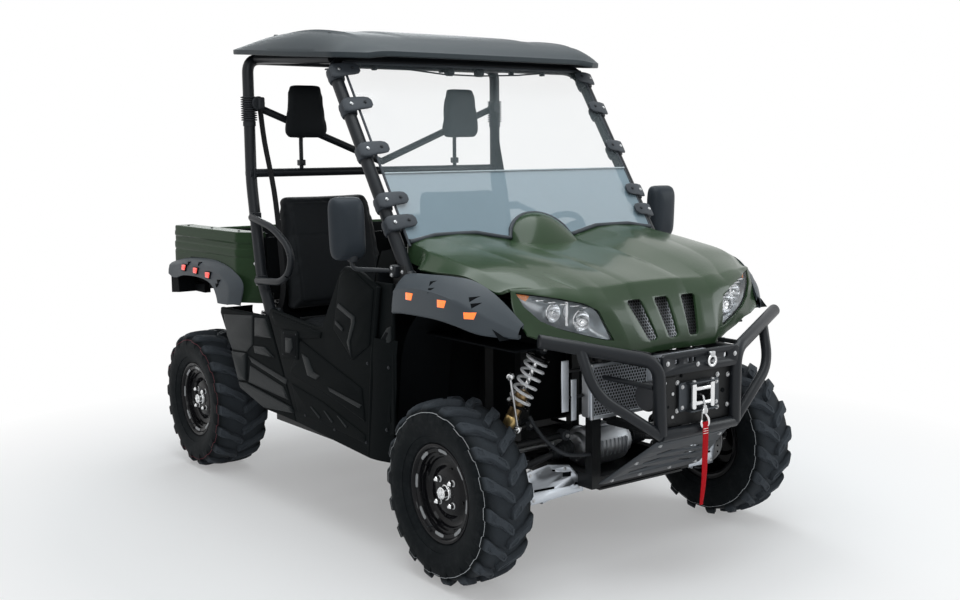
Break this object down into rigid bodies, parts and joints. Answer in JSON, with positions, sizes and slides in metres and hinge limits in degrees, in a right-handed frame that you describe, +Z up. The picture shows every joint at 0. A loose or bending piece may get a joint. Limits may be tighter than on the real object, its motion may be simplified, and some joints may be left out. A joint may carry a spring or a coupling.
{
  "type": "side by side utility vehicle",
  "caption": "Side by side off road utility vehicle with an open cab and roof, knobbly tyres, a tube bumper guard with a winch, steering, and a tipping cargo bed with a folding tailgate.",
  "frame": {"origin": "on the ground, below the middle of the outer box", "axes": "+X to the vehicle's left (the driver's side), +Y to its rear, +Z up"},
  "size_m": [1.7, 2.8274, 1.956],
  "materials": {
    "alloy": "cast, slightly rough",
    "black_plastic": "matte moulded black",
    "black_tube": "satin black powder coat",
    "black_web": "black woven belt",
    "cast": "rough cast",
    "clear_sheet": "clear screen",
    "frame_paint": "satin black",
    "green_paint": "glossy olive green moulded panel",
    "grey_plastic": "grey black moulded flare",
    "lamp_clear": "bright reflector behind a clear lens",
    "lamp_red": "red lens",
    "red_web": "red woven strap",
    "rim_black": "gloss black with machined patches",
    "roof_plastic": "moulded grey black",
    "rubber": "moulded black rubber",
    "seat_vinyl": "black vinyl",
    "spring": "white springs on bronze dampers",
    "steel": "bright",
    "tinted_sheet": "tinted screen",
    "tyre_rubber": "black tread rubber"
  },
  "bodies": {
    "chassis": {"frame_rails": "frame_paint", "frame_crossbars": "frame_paint", "frame_uprights": "frame_paint", "frame_upper": "frame_paint", "hitch": "frame_paint", "bumper_guard": "black_tube", "winch": "steel", "bash_plate": "cast", "radiator": "alloy", "hood": "green_paint", "grille": "black_plastic", "front_flares": "grey_plastic", "inner_fenders": "black_plastic", "headlights": "lamp_clear", "dash": "black_plastic", "floor_tub": "black_plastic", "side_panels": "black_plastic", "rear_panels": "black_plastic", "seat_base": "black_plastic", "seat_cushions": "seat_vinyl", "seat_backs": "seat_vinyl", "headrests": "seat_vinyl", "cage_front": "black_tube", "cage_rear": "black_tube", "cage_rails": "black_tube", "roof": "roof_plastic", "windshield_upper": "clear_sheet", "windshield_lower": "tinted_sheet", "windshield_clamps": "rubber", "mirrors": "black_plastic", "side_bars": "black_tube", "engine": "cast", "muffler": "steel", "differentials": "alloy", "half_shafts": "rubber", "front_arms": "frame_paint", "rear_arms": "frame_paint", "shocks": "spring", "arm_guards": "alloy", "seat_belts": "black_web", "hook_strap": "red_web", "steering_column": "frame_paint"},
    "knuckle_right": {"knuckle_right": "cast"},
    "knuckle_left": {"knuckle_left": "cast"},
    "steering_rack": {"tie_rods": "steel"},
    "steering_wheel": {"steering_wheel": "rubber"},
    "front_right_wheel": {"front_right_tyre": "tyre_rubber", "front_right_rim": "rim_black"},
    "front_left_wheel": {"front_left_tyre": "tyre_rubber", "front_left_rim": "rim_black"},
    "rear_right_wheel": {"rear_right_tyre": "tyre_rubber", "rear_right_rim": "rim_black"},
    "rear_left_wheel": {"rear_left_tyre": "tyre_rubber", "rear_left_rim": "rim_black"},
    "bed": {"cargo_bed": "black_plastic", "bed_hinge": "steel", "bed_panels": "green_paint", "bed_flares": "grey_plastic", "tail_lights": "lamp_red"},
    "tailgate": {"tailgate": "green_paint"}
  },
  "joints": [
    {"name": "steer_right", "type": "hinge", "parent": "chassis", "child": "knuckle_right", "pos_m": [-0.54, -0.884, 0.3175], "axis": [0, 0, 1], "range_deg": [-28, 28]},
    {"name": "steer_left", "type": "hinge", "parent": "chassis", "child": "knuckle_left", "pos_m": [0.54, -0.884, 0.3175], "axis": [0, 0, 1], "range_deg": [-30, 30]},
    {"name": "rack_slide", "type": "slide", "parent": "chassis", "child": "steering_rack", "axis": [1, 0, 0], "range_m": [-0.06, 0.06]},
    {"name": "wheel_turn", "type": "hinge", "parent": "chassis", "child": "steering_wheel", "pos_m": [0.33, -0.204, 1.07], "axis": [0, 0.7507, 0.6606], "range_deg": [-300, 300]},
    {"name": "front_right_spin", "type": "hinge", "parent": "knuckle_right", "child": "front_right_wheel", "pos_m": [-0.648, -0.884, 0.3175], "axis": [1, 0, 0], "continuous": true},
    {"name": "front_left_spin", "type": "hinge", "parent": "knuckle_left", "child": "front_left_wheel", "pos_m": [0.648, -0.884, 0.3175], "axis": [1, 0, 0], "continuous": true},
    {"name": "rear_right_spin", "type": "hinge", "parent": "chassis", "child": "rear_right_wheel", "pos_m": [-0.625, 1.096, 0.3175], "axis": [1, 0, 0], "continuous": true},
    {"name": "rear_left_spin", "type": "hinge", "parent": "chassis", "child": "rear_left_wheel", "pos_m": [0.625, 1.096, 0.3175], "axis": [1, 0, 0], "continuous": true},
    {"name": "bed_tilt", "type": "hinge", "parent": "chassis", "child": "bed", "pos_m": [0, 1.201, 0.785], "axis": [-1, 0, 0], "range_deg": [0, 42]},
    {"name": "tailgate_fold", "type": "hinge", "parent": "bed", "child": "tailgate", "pos_m": [0, 1.332, 0.866], "axis": [-1, 0, 0], "range_deg": [0, 90]}
  ],
  "couplings": [
    {"joint": "steer_left", "follows": "steer_right", "ratio": 1},
    {"joint": "rack_slide", "follows": "steer_right", "m_per_rad": -0.1},
    {"joint": "wheel_turn", "follows": "steer_right", "ratio": -9}
  ]
}
